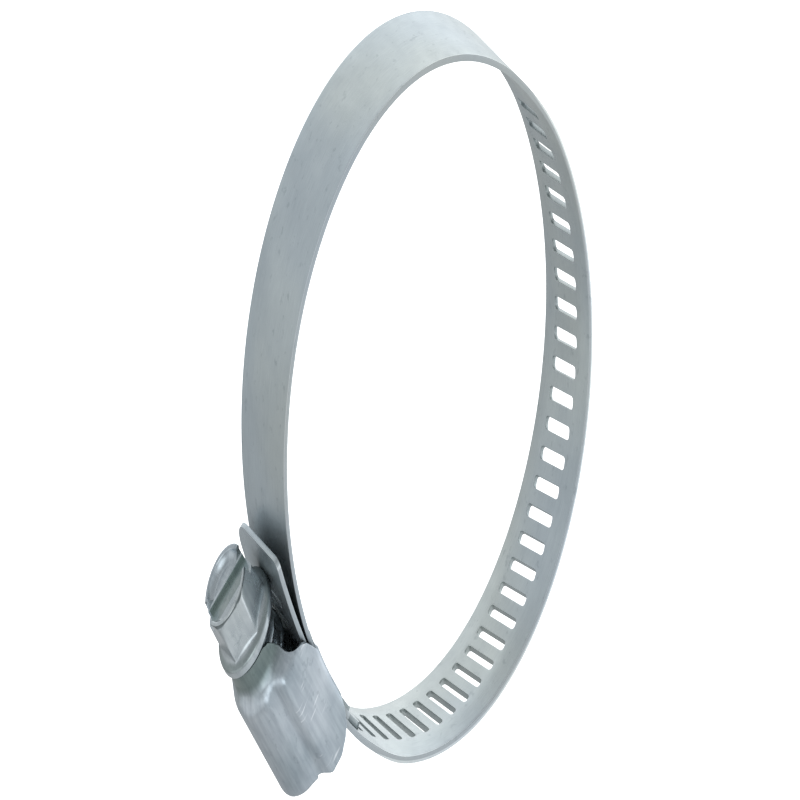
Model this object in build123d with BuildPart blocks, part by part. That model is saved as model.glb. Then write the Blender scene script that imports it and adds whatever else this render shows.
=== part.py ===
from build123d import *
import os
from math import asin, cos, degrees, radians, sin

os.makedirs("parts", exist_ok=True)

# Worm-drive hose clamp. Millimetres. The bore of the loop runs along Y through the origin,
# the housing is on the -X side and the screw stands parallel to +Z with its head at the top.

# driving dimensions
bore_r = 28.0          # inside radius of the loop where it is a true circle
strip_t = 0.6          # band thickness
strip_w = 12.7         # band width (1/2 inch)
main_angle = 58.0      # half angle of the true circle about +X
side_r = 29.0          # inside radius of the two side arcs
upper_end = 100.0      # angle at which the upper side arc hands over to its entry arc
lower_end = 210.0      # angle at which the lower entry arc hands over to its side arc
inner_x = -28.34       # inner face of the fixed layer in the housing
outer_x = -28.97       # inner face of the driven layer in the housing
pitch = 2.54           # thread pitch and slot spacing
slot_l = 6.4           # slot length across the band
slot_w = 1.1           # slot width
slot_round = 0.35      # corner radius of a slot
slot_tilt = -8.0       # slant of a slot, close to the helix angle of the screw
slot_count = 34        # slots in the loop below the housing
slot_phase = 0.6       # shift of the whole slot row, and of the thread that runs in it
tail_r = 55.0          # inside radius of the gently curved tail
seam_z = -1.5 * pitch + slot_phase    # joint between the loop and the driven tail, in the housing
seam_gap = 0.04        # room left at that joint
tail_high = 15.9       # tip of the tail
screw_x = -32.95       # screw axis
crest_r = 3.92         # thread crest radius
root_r = 3.05          # thread root radius
thread_z = slot_phase - pitch         # start of the thread, in step with the slots
hex_af = 7.0           # drive hexagon across flats
head_top = 18.1        # face of the head
flange_z = 12.0        # underside of the flange
flange_r = 4.6         # flange radius
sheet = 0.75           # housing sheet thickness
dome_r = 5.7           # outside radius of the housing's arch
wall_y = 7.2           # outside half width of the housing's skirts
housing_low = -5.2     # lower end of the skirts
nose_low = -4.6        # outside of the closed end of the arch
nose_start = -3.4      # where the arch starts to round over into its closed end
housing_high = 7.9     # upper end of the skirts
foot_high = 5.4        # upper end of the folded feet
foot_y = 5.2           # inner edge of the folded feet
arch_angle = 114.0     # angle about the screw at which the arch turns out into the skirts
wall_x = -33.0         # where the skirts become flat
skirt_x = -30.3        # where the skirts meet the plates that carry the feet
saddle_t = 0.4         # saddle thickness


def on_circle(centre, radius, angle):
    return centre[0] + radius * cos(radians(angle)), centre[1] + radius * sin(radians(angle))


# side views are drawn on a plane whose local axes are +X and +Z
side_view = Plane(origin=(0, 0, 0), x_dir=(1, 0, 0), z_dir=(0, -1, 0))

# centres and radii of the arcs that make up the loop, tangent where they meet
origin = (0.0, 0.0)
upper_c = on_circle(origin, bore_r - side_r, main_angle)
lower_c = (upper_c[0], -upper_c[1])
entry_x, entry_z = on_circle(upper_c, side_r, upper_end)
plain_r = (entry_x - inner_x) / (1 + cos(radians(upper_end)))
plain_c = (inner_x + plain_r, entry_z - plain_r * sin(radians(upper_end)))
entry_x, entry_z = on_circle(lower_c, side_r, lower_end)
drive_r = (entry_x - outer_x) / (1 + cos(radians(lower_end)))
drive_c = (outer_x + drive_r, entry_z - drive_r * sin(radians(lower_end)))
tongue_r = drive_r + outer_x - inner_x
tail_c = (outer_x + tail_r, 0.0)
seam_angle = 180 + degrees(asin((drive_c[1] - seam_z + seam_gap / 2) / (drive_r + strip_t / 2)))

# (centre, inside radius, start angle, end angle) of each stretch of the loop
loop_arcs = [
    (origin, bore_r, -main_angle, main_angle),
    (upper_c, side_r, main_angle, upper_end),
    (plain_c, plain_r, upper_end, 180),
    (lower_c, side_r, lower_end, 360 - main_angle),
    (drive_c, drive_r, seam_angle, lower_end),
]
# the slots start half a pitch from the seam and run back along the lower half of the loop
slot_arcs = [loop_arcs[4], loop_arcs[3], (origin, bore_r, 360 - main_angle, 360 + main_angle)]
slots = []
for index in range(slot_count):
    distance = (index + 0.5) * pitch
    for centre, radius, start, end in slot_arcs:
        length = radians(end - start) * (radius + strip_t / 2)
        if distance <= length:
            break
        distance -= length
    angle = start + degrees(distance / (radius + strip_t / 2))
    slots.append((on_circle(centre, radius, angle), on_circle(origin, 1, angle)))

# band: the loop, fixed to the housing by its plain end
with BuildPart() as band:
    with BuildSketch(side_view):
        for centre, radius, start, end in loop_arcs:
            with BuildLine():
                inside = [on_circle(centre, radius, a) for a in (start, (start + end) / 2, end)]
                outside = [on_circle(centre, radius + strip_t, a) for a in (end, (start + end) / 2, start)]
                ThreePointArc(inside)
                Line(inside[2], outside[0])
                ThreePointArc(outside)
                Line(outside[2], inside[0])
            make_face()
        flat = plain_c[1] - drive_c[1]
        with Locations((inner_x - strip_t / 2, drive_c[1] + flat / 2)):
            Rectangle(strip_t, flat)
    extrude(amount=strip_w / 2, both=True)
    # the plain end runs on below the housing as a narrower tongue
    with BuildSketch(side_view):
        with BuildLine():
            inside = [on_circle(drive_c, tongue_r, a) for a in (180, 190, 200.5)]
            outside = [on_circle(drive_c, tongue_r + strip_t, a) for a in (200.5, 190, 180)]
            ThreePointArc(inside)
            Line(inside[2], outside[0])
            ThreePointArc(outside)
            Line(outside[2], inside[0])
        make_face()
    extrude(amount=4.6, both=True)
    # slots for the screw thread
    for point, outward in slots:
        plane = Plane(
            origin=(point[0], 0, point[1]), x_dir=(0, 1, 0), z_dir=(outward[0], 0, outward[1])
        )
        with BuildSketch(plane):
            RectangleRounded(slot_l, slot_w, slot_round, rotation=slot_tilt)
        extrude(amount=1.0, both=True, mode=Mode.SUBTRACT)
band.part.label = "band"
export_step(band.part, "parts/band.step")

# driven end of the band: the tail the screw pushes out of the housing
low_angle = 180 - degrees(asin((seam_z + seam_gap / 2) / (tail_r + strip_t / 2)))
high_angle = 180 - degrees(asin(tail_high / (tail_r + strip_t / 2)))
with BuildPart() as band_tail:
    with BuildSketch(side_view):
        with BuildLine():
            mid_angle = (low_angle + high_angle) / 2
            inside = [on_circle(tail_c, tail_r, a) for a in (low_angle, mid_angle, high_angle)]
            outside = [on_circle(tail_c, tail_r + strip_t, a) for a in (high_angle, mid_angle, low_angle)]
            ThreePointArc(inside)
            Line(inside[2], outside[0])
            ThreePointArc(outside)
            Line(outside[2], inside[0])
        make_face()
    extrude(amount=strip_w / 2, both=True)
    tip_edges = band_tail.edges().filter_by(Axis.Y, reverse=True).filter_by(GeomType.LINE).group_by(Axis.Z)[-1]
    fillet(tip_edges.sort_by(Axis.Y)[0], radius=1.0)
    fillet(tip_edges.sort_by(Axis.Y)[-1], radius=3.0)
    for index in range(-1, 6):
        angle = 180 - degrees((index * pitch + slot_phase) / (tail_r + strip_t / 2))
        point = on_circle(tail_c, tail_r + strip_t / 2, angle)
        outward = on_circle(origin, 1, angle)
        plane = Plane(
            origin=(point[0], 0, point[1]), x_dir=(0, 1, 0), z_dir=(outward[0], 0, outward[1])
        )
        with BuildSketch(plane):
            RectangleRounded(slot_l, slot_w, slot_round, rotation=slot_tilt)
        extrude(amount=1.0, both=True, mode=Mode.SUBTRACT)
band_tail.part.label = "band_tail"
export_step(band_tail.part, "parts/band_tail.step")

# the sheet under the fixed layer follows its curve, first its lower and then its upper stretch
under_low = (drive_c, tongue_r - saddle_t - 0.02, 180)
under_high = (plain_c, plain_r - saddle_t - 0.02, 180)
flat = plain_c[1] - drive_c[1]
high_end = 180 - degrees(asin((foot_high - plain_c[1]) / under_high[1]))

# saddle: the curved plate between the housing's feet that carries the fixed layer
with BuildPart() as saddle:
    with BuildSketch(side_view):
        with Locations((inner_x + 0.02 + saddle_t / 2, drive_c[1] + flat / 2)):
            Rectangle(saddle_t, flat)
        for centre, radius, start, end in ((*under_low, 189), (*under_high, high_end - 1)):
            with BuildLine():
                inside = [on_circle(centre, radius, a) for a in (start, (start + end) / 2, end)]
                outside = [on_circle(centre, radius + saddle_t, a) for a in (end, (start + end) / 2, start)]
                ThreePointArc(inside)
                Line(inside[2], outside[0])
                ThreePointArc(outside)
                Line(outside[2], inside[0])
            make_face()
    extrude(amount=foot_y - 0.05, both=True)
saddle.part.label = "saddle"
export_step(saddle.part, "parts/saddle.step")

# housing: arched sheet over the screw, skirts down the band edges, feet folded under them
with BuildPart() as housing:
    with BuildSketch(Plane.XY.offset(housing_low)):
        for inset, kind in ((0, Mode.ADD), (sheet, Mode.SUBTRACT)):
            radius = dome_r - inset
            half = wall_y - inset
            ends = [on_circle((screw_x, 0), radius, a) for a in (arch_angle, 180, 360 - arch_angle)]
            tangent = (sin(radians(arch_angle)), -cos(radians(arch_angle)))
            with BuildLine():
                ThreePointArc(ends)
                Spline(ends[0], (wall_x, half), tangents=(tangent, (1, 0)))
                Polyline((wall_x, half), (skirt_x, half), (skirt_x, -half), (wall_x, -half))
                Spline((wall_x, -half), ends[2], tangents=((-1, 0), (-tangent[0], tangent[1])))
            make_face(mode=kind)
    extrude(amount=housing_high - housing_low)
    with Locations((screw_x - 5, 0, nose_start - 1)):
        Box(10, 14, 2, mode=Mode.SUBTRACT)
    # skirts beside the band, then the feet folded under it
    for side in (-1, 1):
        skirt_plane = Plane(origin=(0, side * (wall_y - sheet / 2), 0), x_dir=(1, 0, 0), z_dir=(0, -1, 0))
        with BuildSketch(skirt_plane):
            with BuildLine():
                low = [on_circle(under_low[0], under_low[1], a) for a in (180, 180.75, 181.5)]
                high = [on_circle(under_high[0], under_high[1], a) for a in (high_end, (high_end + 180) / 2, 180)]
                Polyline(low[2], (skirt_x + 0.4, -4.2), (skirt_x - 0.6, housing_low), (skirt_x - 0.6, 0))
                Polyline((skirt_x - 0.6, 0), (skirt_x - 0.6, housing_high), (skirt_x + 0.8, housing_high), high[0])
                ThreePointArc(high)
                Line(high[2], low[0])
                ThreePointArc(low)
            make_face()
        extrude(amount=sheet / 2, both=True)
        foot_plane = Plane(origin=(0, side * (wall_y + foot_y) / 2, 0), x_dir=(1, 0, 0), z_dir=(0, -1, 0))
        with BuildSketch(foot_plane):
            with Locations((inner_x + 0.02 + saddle_t / 2, drive_c[1] + flat / 2)):
                Rectangle(saddle_t, flat)
            for centre, radius, start, end in ((*under_low, 181.5), (*under_high, high_end)):
                with BuildLine():
                    inside = [on_circle(centre, radius, a) for a in (start, (start + end) / 2, end)]
                    outside = [
                        on_circle(centre, radius + saddle_t, a) for a in (end, (start + end) / 2, start)
                    ]
                    ThreePointArc(inside)
                    Line(inside[2], outside[0])
                    ThreePointArc(outside)
                    Line(outside[2], inside[0])
                make_face()
        extrude(amount=(wall_y - foot_y) / 2, both=True)
    # collar: the arch runs on towards the head and is necked in
    with BuildSketch(Plane(origin=(screw_x, 0, 0), x_dir=(0, -1, 0), z_dir=(-1, 0, 0))):
        with BuildLine():
            Line((dome_r - sheet, housing_high), (dome_r, housing_high))
            Line((dome_r, housing_high), (dome_r, 8.3))
            Spline((dome_r, 8.3), (5.05, 10.2), (4.95, 11.7), tangents=((0, 1), (0, 1)))
            Line((4.95, 11.7), (4.25, 11.7))
            Spline((4.25, 11.7), (4.35, 10.0), (dome_r - sheet, 8.1), tangents=((0, -1), (0, -1)))
            Line((dome_r - sheet, 8.1), (dome_r - sheet, housing_high))
        make_face()
    revolve(axis=Axis((screw_x, 0, 0), (0, 0, -1)), revolution_arc=180)
    # nose: the arch is closed and rounded at the far end
    with BuildSketch(Plane(origin=(screw_x, 0, 0), x_dir=(0, -1, 0), z_dir=(-1, 0, 0))):
        with BuildLine():
            Line((dome_r, nose_start), (dome_r - sheet, nose_start))
            Spline((dome_r - sheet, nose_start), (4.2, nose_low + sheet), tangents=((0, -1), (-1, 0)))
            Polyline((4.2, nose_low + sheet), (0, nose_low + sheet), (0, nose_low), (4.2, nose_low))
            Spline((4.2, nose_low), (dome_r, nose_start), tangents=((1, 0), (0, 1)))
        make_face()
    revolve(axis=Axis((screw_x, 0, 0), (0, 0, -1)), revolution_arc=180)
housing.part.label = "housing"
export_step(housing.part, "parts/housing.step")

# screw: worm thread, plain pilot, flange and slotted hexagon head
with BuildPart() as screw:
    with Locations((screw_x, 0, -3.7)):
        Cylinder(2.4, 1.5, align=(Align.CENTER, Align.CENTER, Align.MIN))
    with Locations((screw_x, 0, -3.0)):
        Cylinder(root_r, 15.2, align=(Align.CENTER, Align.CENTER, Align.MIN))
    with BuildLine(Plane(origin=(screw_x, 0, thread_z))) as thread_path:
        Helix(pitch, 4.75 * pitch, root_r)
    with BuildSketch(Plane(origin=(screw_x + root_r, 0, thread_z), x_dir=(1, 0, 0), z_dir=(0, 1, 0))):
        Polygon((-0.25, -0.62), (crest_r - root_r, -0.22), (crest_r - root_r, 0.22), (-0.25, 0.62), align=None)
    sweep(path=thread_path.line, is_frenet=True)
    with BuildSketch(Plane.XZ):
        with BuildLine():
            Polyline((screw_x, 12), (screw_x + flange_r - 0.3, 12))
            RadiusArc((screw_x + flange_r - 0.3, 12), (screw_x + flange_r, 12.3), -0.3)
            Line((screw_x + flange_r, 12.3), (screw_x + flange_r, 12.8))
            RadiusArc((screw_x + flange_r, 12.8), (screw_x + flange_r - 0.4, 13.2), -0.4)
            Spline((screw_x + flange_r - 0.4, 13.2), (screw_x + 3.55, 16.6), tangents=((-1, 0.9), (0, 1)))
            Polyline((screw_x + 3.55, 16.6), (screw_x, 16.6), (screw_x, 12))
        make_face()
    revolve(axis=Axis((screw_x, 0, 0), (0, 0, 1)))
    with BuildSketch(Plane.XY.offset(13)):
        with Locations((screw_x, 0)):
            RegularPolygon(hex_af / 2, 6, major_radius=False, rotation=10)
    extrude(amount=head_top - 13)
    # crown chamfer, dished face and driver slot
    with BuildSketch(Plane.XZ):
        with BuildLine():
            Polyline(
                (screw_x + 3.62, head_top), (screw_x + 5, head_top - 0.9), (screw_x + 5, head_top + 1),
                (screw_x + 3.62, head_top + 1), close=True
            )
        make_face()
    revolve(axis=Axis((screw_x, 0, 0), (0, 0, 1)), mode=Mode.SUBTRACT)
    with BuildSketch(Plane.XZ):
        with BuildLine():
            Polyline(
                (screw_x, head_top - 0.75), (screw_x + 2.5, head_top - 0.75), (screw_x + 3.15, head_top),
                (screw_x, head_top), close=True
            )
        make_face()
    revolve(axis=Axis((screw_x, 0, 0), (0, 0, 1)), mode=Mode.SUBTRACT)
    with Locations(Location((screw_x, 0, head_top), (0, 0, -20))):
        Box(12, 1.8, 3.6, mode=Mode.SUBTRACT)
screw.part.label = "screw"
export_step(screw.part, "parts/screw.step")
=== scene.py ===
import bmesh
import bpy
import math
from math import cos, pi, radians, sin
from mathutils import Matrix, Vector
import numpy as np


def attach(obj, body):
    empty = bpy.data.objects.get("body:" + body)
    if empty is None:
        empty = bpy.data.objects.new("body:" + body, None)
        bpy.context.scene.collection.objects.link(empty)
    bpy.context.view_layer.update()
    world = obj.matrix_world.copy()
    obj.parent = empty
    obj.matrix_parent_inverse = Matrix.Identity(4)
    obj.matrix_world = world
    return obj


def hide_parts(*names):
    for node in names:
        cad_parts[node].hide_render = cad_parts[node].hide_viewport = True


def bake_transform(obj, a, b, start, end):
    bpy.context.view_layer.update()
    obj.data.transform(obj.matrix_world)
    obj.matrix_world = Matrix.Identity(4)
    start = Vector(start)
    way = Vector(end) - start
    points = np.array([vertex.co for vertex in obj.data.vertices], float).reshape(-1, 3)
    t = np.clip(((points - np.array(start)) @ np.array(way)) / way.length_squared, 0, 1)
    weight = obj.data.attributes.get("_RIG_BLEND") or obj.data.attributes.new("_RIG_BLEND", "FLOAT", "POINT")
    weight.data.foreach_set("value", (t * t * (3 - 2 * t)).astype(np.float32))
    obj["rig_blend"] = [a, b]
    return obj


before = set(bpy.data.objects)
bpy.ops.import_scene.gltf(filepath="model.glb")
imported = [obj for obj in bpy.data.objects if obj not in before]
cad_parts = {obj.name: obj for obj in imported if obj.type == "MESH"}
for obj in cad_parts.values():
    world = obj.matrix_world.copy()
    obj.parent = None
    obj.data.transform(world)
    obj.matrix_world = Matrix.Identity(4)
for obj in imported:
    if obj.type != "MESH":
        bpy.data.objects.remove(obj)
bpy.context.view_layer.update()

# Lengths are in millimetres and become metres where a vertex is made. The origin is the centre of
# the hose bore, Y runs along the bore, the housing is on the -X side and the screw head points up +Z.
MM = 0.001

BAND_T = 0.6                                  # thickness of the strip
BAND_HALF_W = 6.35                            # half its width
PITCH = 2.54                                  # thread pitch and slot spacing
SLOT_PHASE = 0.6                              # shift of the slot row and of the thread that runs in it
SLOT_L, SLOT_W, SLOT_ROUND = 3.2, 0.55, 0.38  # half length, half width and corner radius of a slot
SLOT_TILT = radians(8.0)
LOOP_SLOTS, TAIL_SLOTS = 34, 6
SCREW_X = -32.95                              # axis of the screw


def clamped(x):
    return max(0.0, min(1.0, x))


def smooth(a, b, x):
    """0 at a to 1 at b, level at both ends"""
    t = clamped((x - a) / (b - a))
    return t * t * (3 - 2 * t)


def spread(a, b, n):
    """n evenly spaced values from a to b"""
    return [a + (b - a) * i / (n - 1) for i in range(n)]


def quarter(t):
    """height of a unit quarter circle at t from its centre"""
    return math.sqrt(max(0.0, 1 - t * t))


def blended(a, b, sharpness):
    """the greater of a and b, eased where they meet, or the lesser if sharpness is negative"""
    return math.log(math.exp(a * sharpness) + math.exp(b * sharpness)) / sharpness


def between(a, b, t):
    """point at fraction t of the way from a to b"""
    return a[0] + (b[0] - a[0]) * t, a[1] + (b[1] - a[1]) * t


def object_of(bm, name):
    """turn a bmesh into an object in the scene"""
    mesh = bpy.data.meshes.new(name)
    bm.to_mesh(mesh)
    bm.free()
    ob = bpy.data.objects.new(name, mesh)
    bpy.context.scene.collection.objects.link(ob)
    return ob


def bevel(ob, width):
    """round the sharp edges of an object"""
    mod = ob.modifiers.new("bevel", "BEVEL")
    mod.width = width * MM
    mod.segments = 2
    mod.limit_method = "ANGLE"
    mod.angle_limit = radians(50)


def apply_modifiers(ob):
    """bake the modifiers of an object into its mesh"""
    graph = bpy.context.evaluated_depsgraph_get()
    mesh = bpy.data.meshes.new_from_object(ob.evaluated_get(graph))
    ob.modifiers.clear()
    ob.data = mesh


# ---------------------------------------------------------------- path of the strip, seen from the side
def on_circle(centre, radius, angle):
    return centre[0] + radius * cos(radians(angle)), centre[1] + radius * sin(radians(angle))


def side_angle(drop, radius):
    """angle of the point of an arc left of its centre that lies drop below it"""
    return 180 + math.degrees(math.asin(drop / radius))


# inner radii of the arcs, the angles where they meet, and the inner faces of the two layers of strip
# in the housing; the wider arcs beside the housing take up what is left
BORE_R, SIDE_R, TAIL_R = 28.0, 29.0, 55.0
MAIN_A, UPPER_A, LOWER_A, TONGUE_A = 58.0, 100.0, 210.0, 197.5
INNER_X, OUTER_X = -28.34, -28.97
SEAM_Z = -1.5 * PITCH + SLOT_PHASE
TAIL_TOP = 15.9

upper_c = on_circle((0, 0), BORE_R - SIDE_R, MAIN_A)
lower_c = (upper_c[0], -upper_c[1])
meet_x, meet_z = on_circle(upper_c, SIDE_R, UPPER_A)
plain_r = (meet_x - INNER_X) / (1 + cos(radians(UPPER_A)))
plain_c = (INNER_X + plain_r, meet_z - plain_r * sin(radians(UPPER_A)))
meet_x, meet_z = on_circle(lower_c, SIDE_R, LOWER_A)
drive_r = (meet_x - OUTER_X) / (1 + cos(radians(LOWER_A)))
drive_c = (OUTER_X + drive_r, meet_z - drive_r * sin(radians(LOWER_A)))
tongue_r = drive_r + OUTER_X - INNER_X
tail_c = (OUTER_X + TAIL_R, 0.0)


class Path:
    """Middle of the strip as arcs and one straight run, measured by the distance s along it."""

    def __init__(self):
        self.parts, self.length = [], 0.0

    def add(self, length, place):
        self.parts.append((self.length, length, place))
        self.length += length

    def arc(self, centre, r_in, start, end):
        r = r_in + BAND_T / 2

        def place(t):
            angle = start + t * (end - start)
            return on_circle(centre, r, angle), (cos(radians(angle)), sin(radians(angle)))

        self.add(abs(radians(end - start)) * r, place)

    def line(self, p, q):
        self.add(math.dist(p, q), lambda t: (between(p, q, t), (-1.0, 0.0)))

    def at(self, s):
        """point at s and the outward normal there"""
        s = max(0.0, min(self.length, s))
        for start, length, place in self.parts:
            if s <= start + length + 1e-9:
                break
        return place((s - start) / length)


# from the tongue of the plain end, once round the loop and back into the housing, then the tail
inner_layer_x = INNER_X - BAND_T / 2
path = Path()
path.arc(drive_c, tongue_r, TONGUE_A, 180)
path.line((inner_layer_x, drive_c[1]), (inner_layer_x, plain_c[1]))
path.arc(plain_c, plain_r, 180, UPPER_A)
path.arc(upper_c, SIDE_R, UPPER_A, MAIN_A)
path.arc((0, 0), BORE_R, MAIN_A, -MAIN_A)
path.arc(lower_c, SIDE_R, -MAIN_A, LOWER_A - 360)
path.arc(drive_c, drive_r, LOWER_A - 360, side_angle(drive_c[1] - SEAM_Z, drive_r + BAND_T / 2) - 360)
S_SEAM = path.length
path.arc(tail_c, TAIL_R, side_angle(-SEAM_Z, TAIL_R + BAND_T / 2), side_angle(-TAIL_TOP, TAIL_R + BAND_T / 2))

S_SLOTS = S_SEAM - LOOP_SLOTS * PITCH         # start of the first slotted cell
S_TAIL = S_SLOTS + (LOOP_SLOTS + TAIL_SLOTS) * PITCH
S_CUT = S_SLOTS - 8.0                         # where the two objects of the band meet

# ---------------------------------------------------------------- band
TONGUE_HALF_W, TONGUE_L, STEP_L = 4.6, 3.3, 1.0   # narrow end of the tongue, and the step to full width
TONGUE_ROUND, TAIL_ROUND = 1.5, (0.9, 3.4)        # corner radii; the tail's differ, near and far
FIELD = 4.4                                       # half width of the cells that hold the slots
RIM_CURL, CURL_Y = 0.17, 4.0                      # outward slope of the rims, and where it begins
field_ys = spread(-FIELD, FIELD, 17)
rim_columns = (0.82, 0.945, 1.0)
columns = [-c for c in reversed(rim_columns)] + [y / BAND_HALF_W for y in field_ys] + list(rim_columns)


def round_off(d, r):
    """how far a corner of radius r is cut back at distance d from the end"""
    return r - r * quarter((r - d) / r) if d < r else 0.0


def half_width(s, side):
    """half width of the strip at s, on its near (-1) or far (+1) side"""
    if s < TONGUE_L:
        return TONGUE_HALF_W - round_off(s, TONGUE_ROUND)
    if s < TONGUE_L + STEP_L:
        return TONGUE_HALF_W + (BAND_HALF_W - TONGUE_HALF_W) * smooth(TONGUE_L, TONGUE_L + STEP_L, s)
    return BAND_HALF_W - round_off(path.length - s, TAIL_ROUND[side > 0])


def slot_point(u, v):
    """point of a slot's rounded outline met from (u, v), u along the slot"""
    straight_u, straight_v = SLOT_L - SLOT_ROUND, SLOT_W - SLOT_ROUND
    if abs(u) <= straight_u:
        return u, math.copysign(SLOT_W, v)
    corner_u, corner_v = math.copysign(straight_u, u), max(-straight_v, min(straight_v, v))
    angle = math.atan2(v - corner_v, u - corner_u)
    return corner_u + SLOT_ROUND * cos(angle), corner_v + SLOT_ROUND * sin(angle)


class StripSheet:
    """The whole strip as one sheet: rows of quads on the plain runs, rings of quads round every slot."""

    def __init__(self):
        self.bm = bmesh.new()
        self.s_layer = self.bm.verts.layers.float.new("strip_s")
        self.y_layer = self.bm.verts.layers.float.new("strip_y")
        self.verts = {}

    def vert(self, s, y):
        """the vertex at s along and y across the strip, made when first asked for"""
        key = (round(s, 4), round(y, 4))
        if key not in self.verts:
            (x, z), normal = path.at(s)
            slotted = smooth(S_SLOTS - 6, S_SLOTS + 4, s) * smooth(S_SEAM - 6, S_SEAM - 14, s)
            lift = RIM_CURL * max(0.0, abs(y) - CURL_Y) * slotted
            v = self.bm.verts.new(((x + normal[0] * lift) * MM, y * MM, (z + normal[1] * lift) * MM))
            v[self.s_layer], v[self.y_layer] = s, y
            self.verts[key] = v
        return self.verts[key]

    def rows(self, stops, from_cells=False, to_cells=False):
        """rows of quads between the stops; a row that meets the cells keeps their unscaled columns"""
        def column(s, c, square):
            plain = square and abs(c) < rim_columns[0]
            return self.vert(s, c * (BAND_HALF_W if plain else half_width(s, c)))

        for i, (s0, s1) in enumerate(zip(stops, stops[1:])):
            square0, square1 = from_cells and i == 0, to_cells and i == len(stops) - 2
            for c0, c1 in zip(columns, columns[1:]):
                quad = [column(s0, c0, square0), column(s1, c0, square1),
                        column(s1, c1, square1), column(s0, c1, square0)]
                if len(set(quad)) == 4:
                    self.bm.faces.new(quad)

    def cell(self, s0):
        """one pitch of strip with its slot, and the rims on both sides of it"""
        middle = s0 + PITCH / 2
        outer = [(s0, y) for y in field_ys]
        outer += [(s0 + PITCH * k / 4, FIELD) for k in (1, 2, 3)]
        outer += [(s0 + PITCH, y) for y in reversed(field_ys)]
        outer += [(s0 + PITCH * k / 4, -FIELD) for k in (3, 2, 1)]
        cos_tilt, sin_tilt = cos(SLOT_TILT), sin(SLOT_TILT)
        slot = []
        for s, y in outer:
            u, v = slot_point(y * SLOT_L / FIELD, (s - middle) * SLOT_W / (PITCH / 2))
            slot.append((middle + v * cos_tilt + u * sin_tilt, u * cos_tilt - v * sin_tilt))
        rings = [[between(a, b, t) for a, b in zip(outer, slot)] for t in (0, 0.5, 0.82, 1)]
        for ring, inner in zip(rings, rings[1:]):
            for i in range(len(ring)):
                j = (i + 1) % len(ring)
                self.bm.faces.new([self.vert(*p) for p in (inner[i], inner[j], ring[j], ring[i])])
        for side in (-1, 1):
            for k in range(4):
                self.rim(s0 + PITCH * k / 4, s0 + PITCH * (k + 1) / 4, side)

    def rim(self, s0, s1, side):
        """the quads between the slot field and the edge of the strip"""
        def column(s, c):
            return self.vert(s, side * (FIELD if c is None else c * half_width(s, side)))

        bounds = (None,) + rim_columns
        for c0, c1 in zip(bounds, bounds[1:]):
            quad = [column(s0, c0), column(s1, c0), column(s1, c1), column(s0, c1)]
            self.bm.faces.new(quad if side > 0 else quad[::-1])

    def build(self):
        full = TONGUE_L + STEP_L
        tongue = [TONGUE_L * (i / 12) ** 1.6 for i in range(12)] + spread(TONGUE_L, full, 9)
        plain = spread(full, S_CUT - 0.3, 161)[1:] + [S_CUT + d for d in (-0.1, -0.03, 0.0, 0.03, 0.1, 0.3)]
        self.rows(tongue + plain + spread(S_CUT, S_SLOTS, 17)[1:], to_cells=True)
        for index in range(LOOP_SLOTS + TAIL_SLOTS):
            self.cell(S_SLOTS + index * PITCH)
        end = [S_TAIL + (path.length - S_TAIL) * (1 - (1 - i / 12) ** 1.8) for i in range(13)]
        self.rows(end, from_cells=True)
        bmesh.ops.recalc_face_normals(self.bm, faces=self.bm.faces)


def strip_object(name):
    """the sheet, thickened, with eased edges"""
    sheet = StripSheet()
    sheet.build()
    ob = object_of(sheet.bm, name)
    ob.data.shade_smooth()
    thick = ob.modifiers.new("thick", "SOLIDIFY")
    thick.thickness = BAND_T * MM
    thick.offset = 0
    thick.use_even_offset = True
    bevel(ob, 0.07)
    apply_modifiers(ob)
    return ob


def part_of_strip(source, name, keep):
    """copy of the strip with only the faces whose distance along it passes keep()"""
    bm = bmesh.new()
    bm.from_mesh(source.data)
    layer = bm.verts.layers.float["strip_s"]
    gone = [f for f in bm.faces if not keep(sum(v[layer] for v in f.verts) / len(f.verts))]
    bmesh.ops.delete(bm, geom=gone, context="FACES")
    return object_of(bm, name)


strip = strip_object("band_strip")
band_plain = part_of_strip(strip, "band_plain_half", lambda s: s < S_CUT)
band_slotted = part_of_strip(strip, "band_slotted_half", lambda s: s >= S_CUT)
bpy.data.objects.remove(strip)
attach(band_plain, "clamp")
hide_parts("band")
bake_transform(band_slotted, "clamp", "tail", start=(0.028, 0, 0), end=(-0.027, 0, 0))
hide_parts("band_tail")

# ---------------------------------------------------------------- housing
# The sheet is a grid of columns, counted on each side from the crest of the arch over the screw, down
# the valley beside it, down the skirt, round its fold and along the foot under the band.
SHEET = 0.55                                  # thickness
WALL_Y, FOOT_Y = 7.2, 5.2                     # outside of the skirt, inner end of the foot
VALLEY_X = -33.1
FOLD_R = 0.75
FOOT_GAP = 0.42                               # foot below the inner face of the plain layer
ARCH, FLARE, WALL, FOLD, FOOT = 13, 7, 12, 4, 3   # columns over arch, valley, skirt, fold and foot
ARCH_END = 112.0                              # angle where the arch turns into the valley
ARCH_R = 5.78
ROWS = 50
NECK = [(7.8, ARCH_R), (8.6, 5.5), (9.4, 4.9), (10.1, 4.6), (11.85, 4.62)]      # height, radius
CLOSING = ARCH + FLARE + 7                    # columns that close round the neck
CLOSE_FROM, CLOSE_TO = 7.7, 9.9               # heights between which they do so
# closed end under the screw, as (radius, drop below the edge of the arch), outside first
NOSE_Z, NOSE_DROP = -3.3, 1.2
NOSE = [(5.75, 0.2), (5.67, 0.45), (5.48, 0.7), (5.15, 0.93), (4.6, 1.1), (3.9, 1.18),
        (2.8, NOSE_DROP), (1.4, NOSE_DROP)]
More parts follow.
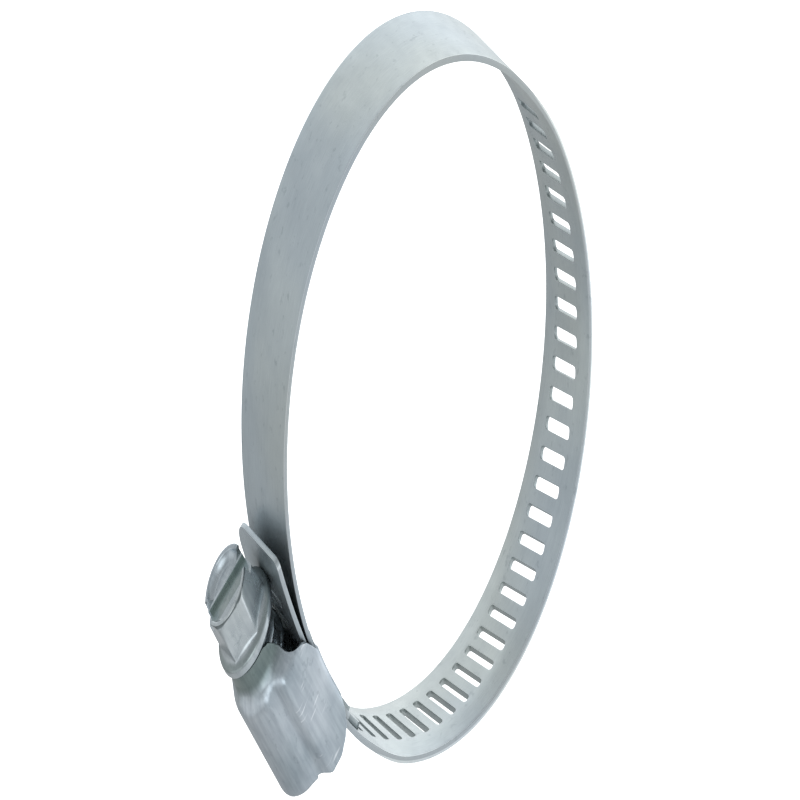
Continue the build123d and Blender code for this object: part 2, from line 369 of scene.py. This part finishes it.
# lower and upper edge of the sheet, as (column, height)
LOW = [(0, -3.3), (10, -3.35), (13, -3.8), (19, -4.7), (23, -4.95), (26, -4.6), (29, -4.0),
       (31, -2.9), (33, -1.7), (38, -1.1)]
HIGH = [(0, 11.85), (16, 11.8), (19, 11.3), (21, 10.3), (23, 9.0), (25, 8.45), (27, 8.0),
        (29, 7.15), (31, 5.7), (33, 4.7), (38, 4.5)]


def curve(points, x):
    """smooth interpolation through (x, value) pairs"""
    for (x0, v0), (x1, v1) in zip(points, points[1:]):
        if x <= x1:
            return v0 + (v1 - v0) * smooth(x0, x1, x)
    return points[-1][1]


def foot_x(z):
    """bore side of the feet at height z, following the plain layer"""
    if z > plain_c[1]:
        r = plain_r - FOOT_GAP
        return plain_c[0] - math.sqrt(r * r - (z - plain_c[1]) ** 2)
    if z < drive_c[1]:
        r = tongue_r - FOOT_GAP
        return drive_c[0] - math.sqrt(r * r - (z - drive_c[1]) ** 2)
    return INNER_X + FOOT_GAP


def neck_angle(j):
    """angle of column j round the screw; the columns beside the arch close round its neck"""
    if j < ARCH:
        return 180 - (180 - ARCH_END) * j / (ARCH - 1)
    return ARCH_END - 40 * min(1.0, (j - ARCH + 1) / 10)


def press_marks(j, z, side):
    """hollow and bump left where the neck was squeezed in, and a ridge down each side of the arch"""
    hollow = 0.42 * math.exp(-((j - 3.5) / 2.6) ** 2 - ((z - 9.0) / 0.75) ** 2)
    bump = 0.45 * math.exp(-((j - 10.2) / 2.0) ** 2 - ((z - 8.3) / 0.8) ** 2)
    ridge = 0.2 * math.exp(-((j - 11.0) / 1.1) ** 2) * smooth(-4.0, -1.0, z) * smooth(9.0, 7.0, z)
    return bump + ridge - hollow * (1.0 if side < 0 else 0.5)


def beside_arch(j, z):
    """x and y of a column outside the arch, before it closes round the neck"""
    arch_x, arch_y = on_circle((SCREW_X, 0), ARCH_R, ARCH_END)
    k = j - ARCH
    if k < FLARE:
        t = (k + 1) / FLARE
        y = arch_y + (WALL_Y - arch_y) * smooth(0.0, 1.0, t) + 0.35 * t * (1 - t)
        return arch_x + (VALLEY_X - arch_x) * t, y
    k -= FLARE
    under = foot_x(z)
    if k < WALL:
        t = (k + 1) / WALL
        return VALLEY_X + (under - FOLD_R - VALLEY_X) * t, WALL_Y + 0.07 * sin(pi * t)
    k -= WALL
    if k < FOLD:
        return on_circle((under - FOLD_R, WALL_Y - FOLD_R), FOLD_R, 90 - 90 * (k + 1) / FOLD)
    return under, WALL_Y - FOLD_R - (WALL_Y - FOLD_R - FOOT_Y) * (k - FOLD + 1) / FOOT


def housing_point(j, z, side):
    """point of column j at height z"""
    neck_r, angle = curve(NECK, z), radians(neck_angle(j))
    if j < ARCH:
        r = neck_r + press_marks(j, z, side)
        return SCREW_X + r * cos(angle), side * r * sin(angle), z
    x, y = beside_arch(j, z)
    closed = smooth(CLOSE_FROM, CLOSE_TO, z) if j < CLOSING else 0.0
    x += (SCREW_X + neck_r * cos(angle) - x) * closed
    return x, side * (y + (neck_r * sin(angle) - y) * closed), z


def nose_point(j, step, side):
    """point of column j on the closed end"""
    r, drop = NOSE[step]
    angle, edge = radians(neck_angle(j)), curve(LOW, j)
    z = edge + (NOSE_Z - edge) * (step + 1) / len(NOSE) - drop
    return SCREW_X + r * cos(angle), side * r * sin(angle), z


def housing_object(name):
    bm = bmesh.new()
    made = {}

    def vert(side, j, row):
        """vertex of a column; rows below 0 are the steps of the closed end"""
        side = side if j else 1
        if (side, j, row) not in made:
            low, high = curve(LOW, j), curve(HIGH, j)
            if row < 0:
                point = nose_point(j, -row - 1, side)
            else:
                point = housing_point(j, low + (high - low) * row / ROWS, side)
            made[side, j, row] = bm.verts.new([c * MM for c in point])
        return made[side, j, row]

    for side in (1, -1):
        for j in range(ARCH + FLARE + WALL + FOLD + FOOT - 1):
            for row in range(-len(NOSE) if j < ARCH - 1 else 0, ROWS):
                corners = ((j, row), (j + 1, row), (j + 1, row + 1), (j, row + 1))
                bm.faces.new([vert(side, *corner) for corner in corners][::side])
    tip = bm.verts.new((SCREW_X * MM, 0, (NOSE_Z - NOSE_DROP) * MM))
    for side in (1, -1):
        for j in range(ARCH - 1):
            bm.faces.new([vert(side, j, -len(NOSE)), vert(side, j + 1, -len(NOSE)), tip][::-side])
    bmesh.ops.recalc_face_normals(bm, faces=bm.faces)
    ob = object_of(bm, name)
    # the sheet is thickened inwards, so its normals have to point away from the screw
    crest = max(ob.data.polygons, key=lambda f: abs(f.center.x))
    if crest.normal.x > 0:
        ob.data.flip_normals()
    ob.data.shade_smooth()
    sheet = ob.modifiers.new("sheet", "SOLIDIFY")
    sheet.thickness = SHEET * MM
    sheet.offset = -1
    bevel(ob, 0.12)
    return ob


housing = housing_object("housing_sheet")
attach(housing, "clamp")
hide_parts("housing")

# ---------------------------------------------------------------- screw
PILOT_LOW, PILOT_R = -3.7, 2.4
THREAD_LOW, THREAD_HIGH, THREAD_TURNS = -3.0, 11.6, 4.75
THREAD_Z = SLOT_PHASE - PITCH                 # start of the thread, in step with the slots
ROOT_R, CREST_R, NECK_R = 3.05, 3.92, 3.3
THREAD_HALF_W, FLANK = 0.55, 0.33             # half the width of the thread at its root, run of a flank
FLANGE_LOW, FLANGE_FULL, FLANGE_EASE, FLANGE_R = 12.0, 12.3, 12.75, 4.95      # full radius between
HEAD_LOW = 13.2                               # where the top of the flange meets the hexagon
HEX_HALF, HEX_TURN = 3.68, 92                 # half the width across flats, direction of a corner
RIM_LOW, RIM_FULL, RIM_R, HEAD_TOP = 17.7, 17.98, 3.82, 18.1
SLOT_TURN, DRIVER_HALF_W, DRIVER_FLOOR = -20, 1.3, 16.5
# dished face, as (radius, height): rim, sloping wall and flat floor
DISH = [(3.5, HEAD_TOP), (3.4, 18.06), (3.34, 17.96), (3.3, 17.8), (3.1, 17.55), (2.85, 17.3),
        (2.7, 17.22), (2.5, 17.2), (1.2, 17.2)]
AROUND = 180                                  # vertices round the screw


def thread_radius(phi, z):
    """radius on the worm thread, which fades in and out at its ends"""
    from_crest = ((z - THREAD_Z) / PITCH - phi / (2 * pi)) % 1.0
    from_crest = min(from_crest, 1 - from_crest) * PITCH
    h = clamped((THREAD_HALF_W - from_crest) / FLANK)
    h = (smooth(0, 1, h) + h) / 2
    turn = (z - THREAD_Z) / PITCH - 0.15
    h *= clamped((turn + 0.3) / 0.3) * clamped((THREAD_TURNS - turn) / 0.25 + 0.5)
    return ROOT_R + (CREST_R - ROOT_R) * h


def head_radius(phi, z):
    """radius on the hexagon, its flared foot and the round rim of the face"""
    off_flat = (math.degrees(phi) - HEX_TURN) % 60 - 30
    hexagon = HEX_HALF / cos(radians(off_flat))
    cone = 4.0 + (HEAD_TOP - z) * 0.09
    body = blended(hexagon, cone, -22)
    if z < 16:
        foot = 3.1 + 1.35 * math.exp(-(z - HEAD_LOW) / 0.6)
        body = blended(body, foot, 5.5)
    rim = RIM_R - 0.12 * (1 - quarter(max(0.0, z - RIM_FULL) / 0.13))
    return body + (rim - body) * smooth(RIM_LOW, RIM_FULL, z)


def screw_radius(phi, z):
    if z < THREAD_LOW:
        return PILOT_R - max(0.0, -3.5 - z) * 0.8
    if z < THREAD_HIGH:
        return thread_radius(phi, z)
    if z < FLANGE_LOW:
        return NECK_R
    if z < FLANGE_FULL:
        return FLANGE_R - 0.35 + 0.35 * quarter((FLANGE_FULL - z) / (FLANGE_FULL - FLANGE_LOW))
    if z <= FLANGE_EASE:
        return FLANGE_R
    if z < HEAD_LOW:
        return FLANGE_R - 0.45 + 0.45 * quarter((z - FLANGE_EASE) / (HEAD_LOW - FLANGE_EASE))
    return head_radius(phi, z)


def driver_cutter(name):
    """long bar that cuts the driver slot, wider at the top so that the cut has eased edges"""
    w = DRIVER_HALF_W
    half = [(w, DRIVER_FLOOR), (w, 17.08), (w + 0.14, 17.2), (w + 0.2, 17.8), (w + 0.28, 18.2),
            (w + 0.28, 19.0)]
    section = half + [(-x, z) for x, z in reversed(half)]
    turn = Matrix.Rotation(radians(SLOT_TURN), 3, "Z")
    bm = bmesh.new()
    ends = [[bm.verts.new((turn @ Vector((x, y, z)) + Vector((SCREW_X, 0, 0))) * MM) for y, z in section]
            for x in (-6, 6)]
    for i in range(len(section)):
        j = (i + 1) % len(section)
        bm.faces.new([ends[0][i], ends[0][j], ends[1][j], ends[1][i]])
    bm.faces.new(ends[0][::-1])
    bm.faces.new(ends[1])
    bmesh.ops.recalc_face_normals(bm, faces=bm.faces)
    return object_of(bm, name)


def screw_object(name):
    levels = [PILOT_LOW, -3.65, -3.5, -3.1, THREAD_LOW] + spread(-2.91, 11.22, 158)
    levels += [THREAD_HIGH, 11.98, FLANGE_LOW, 12.05, 12.15, FLANGE_FULL, 12.5, FLANGE_EASE]
    levels += [12.9, 13.0, 13.08, 13.14]
    levels += spread(13.28, 14.88, 21) + spread(15.1, 17.1, 9) + [17.3, 17.5] + spread(RIM_LOW, 17.94, 5)
    levels += [RIM_FULL, 18.04, 18.08, HEAD_TOP]
    bm = bmesh.new()
    angles = [2 * pi * i / AROUND for i in range(AROUND)]
    profile = [([screw_radius(a, z) for a in angles], z) for z in levels]
    profile += [([r] * AROUND, z) for r, z in DISH]
    rings = []
    for radii, z in profile:
        ring = [(SCREW_X + r * cos(a), r * sin(a), z) for r, a in zip(radii, angles)]
        rings.append([bm.verts.new([c * MM for c in point]) for point in ring])
    for lower, upper in zip(rings, rings[1:]):
        for i in range(AROUND):
            j = (i + 1) % AROUND
            bm.faces.new([lower[i], lower[j], upper[j], upper[i]])
    bm.faces.new(rings[0][::-1])
    bm.faces.new(rings[-1])
    ob = object_of(bm, name)
    cutter = driver_cutter("slot_cutter")
    cut = ob.modifiers.new("slot", "BOOLEAN")
    cut.object = cutter
    cut.operation = "DIFFERENCE"
    cut.solver = "EXACT"
    apply_modifiers(ob)
    bpy.data.objects.remove(cutter)
    ob.data.shade_smooth()
    ob.data.set_sharp_from_angle(angle=radians(38))
    return ob


screw = screw_object("screw_body")
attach(screw, "screw")
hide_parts("screw")


# ---------------------------------------------------------------- materials
class Nodes:
    """Adds shader nodes to a tree and links them as they are made."""

    def __init__(self, tree):
        self.tree = tree

    def feed(self, socket, value):
        if isinstance(value, bpy.types.NodeSocket):
            self.tree.links.new(value, socket)
        else:
            socket.default_value = value

    def add(self, kind, *values, **named):
        """new node: values fill its inputs in order, lower-case names are settings, others inputs"""
        node = self.tree.nodes.new("ShaderNode" + kind)
        for name, value in named.items():
            if name.islower():
                setattr(node, name, value)
        for name, value in named.items():
            if not name.islower():
                self.feed(node.inputs[name.replace("_", " ")], value)
        for socket, value in zip(node.inputs, values):
            self.feed(socket, value)
        return node

    def math(self, operation, a, b=0.0):
        return self.add("Math", a, b, operation=operation).outputs[0]

    def vector(self, operation, a, b=(0.0, 0.0, 0.0)):
        return self.add("VectorMath", a, b, operation=operation)

    def noise(self, place, scale, detail, roughness=0.5):
        node = self.add("TexNoise", Vector=place, Scale=scale, Detail=detail, Roughness=roughness)
        return node.outputs["Fac"]

    def ramp(self, value, *stops):
        """colour along (position, colour) stops"""
        node = self.add("ValToRGB", Fac=value)
        ends = node.color_ramp.elements
        ends[0].position, ends[0].color = stops[0][0], (*stops[0][1], 1)
        ends[1].position, ends[1].color = stops[-1][0], (*stops[-1][1], 1)
        for position, colour in stops[1:-1]:
            ends.new(position).color = (*colour, 1)
        return node.outputs[0]

    def mix(self, amount, a, b, blend_type="MIX"):
        return self.add("MixRGB", Fac=amount, Color1=a, Color2=b, blend_type=blend_type).outputs[0]

    def times(self, amount, a, b):
        return self.mix(amount, a, b, "MULTIPLY")

    def smooth(self, value, low, high):
        node = self.add("MapRange", Value=value, From_Min=low, From_Max=high, interpolation_type="SMOOTHSTEP")
        return node.outputs[0]


BLACK, WHITE = (0, 0, 0), (1, 1, 1)


def rolled_grain(n):
    """streaks along the strip, and the slower change between dull and bright"""
    s = n.add("Attribute", attribute_name="strip_s").outputs["Fac"]
    y = n.add("Attribute", attribute_name="strip_y").outputs["Fac"]
    fine = n.add("CombineXYZ", n.math("MULTIPLY", s, 0.25), n.math("MULTIPLY", y, 9.0), 0.0).outputs[0]
    slow = n.add("CombineXYZ", n.math("MULTIPLY", s, 1.1), n.math("MULTIPLY", y, 0.5), 3.0).outputs[0]
    return n.noise(fine, 1.6, 4.0, 0.7), n.noise(slow, 0.6, 3.0)


def pressed_grain(n, place):
    """two crossed sets of fine scratches"""
    sets = (((0.5, 0.2, 0.9), (2600.0, 260.0, 260.0)), ((-0.4, 0.7, -0.5), (300.0, 2900.0, 300.0)))
    a, b = [n.noise(n.add("Mapping", Vector=place, Rotation=turn, Scale=scale).outputs[0], 1.0, 2.0)
            for turn, scale in sets]
    return n.math("MULTIPLY", n.math("ADD", a, b), 0.5)


def rims_with_painted_highlight(n, across, colour):
    """dark sheared rims, with a painted highlight along the bevel at each corner"""
    # painted highlight: a bright line along the bevelled corners of the strip; the edge faces themselves are
    # darker
    corner = n.math("GREATER_THAN", across, (BAND_HALF_W - 0.1) * MM)
    rim = n.math("GREATER_THAN", across, (BAND_HALF_W - 0.007) * MM)
    colour = n.mix(n.math("MULTIPLY", corner, 0.45), colour, (0.90, 0.92, 0.93, 1))
    return n.mix(n.math("MULTIPLY", rim, 0.75), colour, (0.36, 0.39, 0.41, 1))


def skirt_scratches(n, place, across, colour):
    """bright handling scratches on the skirts"""
    stretched = n.add("Mapping", Vector=place, Scale=(330.0, 120.0, 3600.0)).outputs[0]
    long = n.ramp(n.noise(stretched, 1.0, 1.0), (0.60, BLACK), (0.68, WHITE))
    patch = n.ramp(n.noise(place, 260.0, 1.0), (0.50, BLACK), (0.62, WHITE))
    on_skirt = n.math("GREATER_THAN", across, (WALL_Y - 0.5) * MM)
    hit = n.math("MULTIPLY", n.math("MULTIPLY", long, patch), on_skirt)
    return n.mix(n.math("MULTIPLY", hit, 0.6), colour, (0.93, 0.93, 0.94, 1))


def painted_shade_bands(n, place, colour, shade_bands):
    """painted shade in bands round the screw's axis, as (height, half width, tone, least and greatest radius)
    """
    up = n.math("MULTIPLY", n.add("SeparateXYZ", Vector=place).outputs[2], 1 / MM)
    level = n.vector("MULTIPLY", n.vector("ADD", place, (-SCREW_X * MM, 0, 0)).outputs[0], (1, 1, 0))
    out = n.vector("LENGTH", level.outputs[0]).outputs["Value"]
    for z, half, tone, least, greatest in shade_bands:
        near = n.smooth(n.math("ABSOLUTE", n.math("SUBTRACT", up, z)), half, 0.3 * half)
        near = n.math("MULTIPLY", near, n.math("GREATER_THAN", out, least * MM))
        near = n.math("MULTIPLY", near, n.math("LESS_THAN", out, greatest * MM))
        colour = n.times(near, colour, (*tone, 1))
    return colour


def zinc(name, dark, light, rough, streaks, rolled=False, shade_bands=()):
    """Zinc plate: cloudy tint, fine scratches, dull patches, dark specks, painted shade in the corners, and
    painted shade in any bands given round the screw's axis.
    """
    material = bpy.data.materials.new(name)
    material.use_nodes = True
    shader = material.node_tree.nodes["Principled BSDF"]
    n = Nodes(material.node_tree)
    place = n.add("TexCoord").outputs["Object"]
    across = n.math("ABSOLUTE", n.add("SeparateXYZ", Vector=place).outputs[1])
    cloud = n.noise(place, 150.0, 5.0, 0.55)
    grain, dull = rolled_grain(n) if rolled else (pressed_grain(n, place), cloud)

    middle = tuple((d + l) / 2 for d, l in zip(dark, light))
    colour = n.ramp(cloud, (0.3, dark), (0.5, middle), (0.7, light))
    colour = n.times(streaks, colour, n.ramp(grain, (0.42, (0.86, 0.87, 0.88)), (0.58, (1.06, 1.06, 1.05))))
    colour = rims_with_painted_highlight(n, across, colour) if rolled else skirt_scratches(n, place, across, colour)
    specks = n.ramp(n.noise(place, 900.0, 3.0, 0.6), (0.30, (0.72, 0.74, 0.75)), (0.38, WHITE))
    colour = n.times(0.6, colour, specks)
    drift = n.ramp(n.noise(place, 45.0, 1.5), (0.38, (0.97, 1.0, 1.03)), (0.62, (1.02, 1.02, 0.98)))
    colour = n.times(1.0, colour, drift)
    # painted shade: the colour darkens where ambient occlusion finds corners, creases and gaps between parts
    ao_for_painted_shade = n.add("AmbientOcclusion", Distance=1.8 * MM, samples=6).outputs["AO"]
    colour = n.times(0.8, colour, n.ramp(ao_for_painted_shade, (0.25, (0.42, 0.44, 0.43)), (0.95, WHITE)))
    # painted shade in bands round the screw's axis
    colour = painted_shade_bands(n, place, colour, shade_bands)

    uneven = n.math("ADD", n.math("MULTIPLY", grain, 0.6), n.math("MULTIPLY", cloud, 0.15))
    bump = n.add("Bump", Strength=0.22, Distance=0.06 * MM, Height=uneven)
    patchy = n.add("MapRange", Value=dull, From_Min=0.3, From_Max=0.7, To_Min=rough[0], To_Max=rough[1])
    n.feed(shader.inputs["Base Color"], colour)
    n.feed(shader.inputs["Metallic"], 0.88)
    n.feed(shader.inputs["Roughness"], patchy.outputs[0])
    n.feed(shader.inputs["Normal"], bump.outputs[0])
    return material


ANY_R = (0.0, 9.0)
band_zinc = zinc("band_zinc", (0.44, 0.48, 0.50), (0.52, 0.56, 0.57), (0.32, 0.40), 0.6, rolled=True)
# painted shade, tinted green, in the hollow where the neck meets the flange
housing_zinc = zinc("housing_zinc", (0.37, 0.42, 0.45), (0.57, 0.60, 0.63), (0.28, 0.4), 0.8,
                    shade_bands=[(10.8, 2.3, (0.42, 0.47, 0.43), *ANY_R)])
# painted shade: a shadow line under the rim of the face, shade on top of the flange where it meets the
# hexagon, and greener shade in the driver slot
screw_zinc = zinc("screw_zinc", (0.35, 0.39, 0.41), (0.57, 0.60, 0.62), (0.2, 0.32), 0.6,
                  shade_bands=[(17.9, 0.2, (0.32, 0.34, 0.34), 3.6, 9.0), (13.1, 0.3, (0.6, 0.63, 0.61), *ANY_R),
                         (16.75, 0.42, (0.55, 0.60, 0.54), 0.0, 3.64)])
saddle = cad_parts["saddle"]
for material, pieces in ((band_zinc, (band_plain, band_slotted, saddle)), (housing_zinc, (housing,)),
                         (screw_zinc, (screw,))):
    for piece in pieces:
        piece.data.materials.clear()
        piece.data.materials.append(material)


# ---------------------------------------------------------------- floor, light and camera
def white_floor():
    """pale floor under the clamp that lights nothing and shows in no reflection"""
    bpy.ops.mesh.primitive_plane_add(size=4, location=(0, 0, -0.060))
    floor = bpy.context.object
    floor.name = "floor"
    material = bpy.data.materials.new("floor_white")
    material.use_nodes = True
    shader = material.node_tree.nodes["Principled BSDF"]
    shader.inputs["Base Color"].default_value = (0.9, 0.9, 0.9, 1)
    shader.inputs["Emission Color"].default_value = (1, 1, 1, 1)
    shader.inputs["Emission Strength"].default_value = 1.0
    floor.data.materials.append(material)
    floor.visible_glossy = False
    floor.visible_diffuse = False


# soft lights of the studio, as (direction, cosine where the light begins, cosine where it is full, strength)
LIGHTS = [
    ((0.61, 0.79, 0.0), 0.74, 1.0, 0.74),
    ((0.1, -0.75, -0.6), -0.1, 0.8, 0.38),
    ((0.78, 0.1, -0.62), 0.4, 1.0, 0.75),
    ((-0.1, 0.62, 0.75), 0.55, 1.0, 0.24),
    ((-0.52, -0.64, 0.56), 0.86, 1.0, 1.5),
    ((-0.93, 0.1, 0.33), 0.84, 1.0, 0.5),
]
SKY_LEVEL = 0.52


def studio():
    """light that comes from the world alone; the camera itself sees plain white"""
    world = bpy.data.worlds.new("studio")
    bpy.context.scene.world = world
    world.use_nodes = True
    n = Nodes(world.node_tree)
    direction = n.add("TexCoord").outputs["Generated"]
    level = SKY_LEVEL
    for axis, begins, full, strength in LIGHTS:
        facing = n.vector("DOT_PRODUCT", direction, tuple(Vector(axis).normalized())).outputs["Value"]
        level = n.math("ADD", level, n.math("MULTIPLY", n.smooth(facing, begins, full), strength))
    light = n.add("VectorMath", (0.97, 1.0, 1.02), Scale=level, operation="SCALE").outputs[0]
    to_camera = n.add("LightPath").outputs["Is Camera Ray"]
    background = world.node_tree.nodes["Background"]
    n.feed(background.inputs["Color"], n.mix(to_camera, light, (1, 1, 1, 1)))
    background.inputs["Strength"].default_value = 1.0
    bpy.context.scene.view_settings.view_transform = "Standard"


# The view is nearly parallel and squeezed to half its width. The squeeze comes from a camera whose up
# axis leans 60 degrees back from the picture plane, which only a parent's matrix can hold.
RIGHT = Vector((0.59529, -0.53968, -0.59529))
UP = Vector((0.79487, 0.28715, 0.53454))
FORWARD = Vector((0.11755, 0.79139, -0.59991))
LEAN = radians(60)
TARGET = Vector((-0.5, 0, 0))                 # point of the frame that the offsets are measured from
OFF_RIGHT, OFF_UP, DISTANCE = 2.581, 1.694, 3492.4
LENS, SENSOR = 992.5, 36


def squeezed_camera():
    place = (TARGET - RIGHT * OFF_RIGHT - UP * OFF_UP - FORWARD * DISTANCE) * MM
    shear = Matrix.Identity(4)
    for column, axis in enumerate((RIGHT, UP * cos(LEAN) - FORWARD * sin(LEAN), -FORWARD, place)):
        for row in range(3):
            shear[row][column] = axis[row]
    data = bpy.data.cameras.new("photo_camera")
    data.sensor_width = SENSOR
    data.lens = LENS
    data.clip_start, data.clip_end = 0.5, 20
    camera = bpy.data.objects.new("photo_camera", data)
    rig = bpy.data.objects.new("camera_rig", None)
    for ob in (camera, rig):
        bpy.context.scene.collection.objects.link(ob)
    camera.parent = rig
    camera.matrix_parent_inverse = shear
    bpy.context.scene.camera = camera


white_floor()
studio()
squeezed_camera()
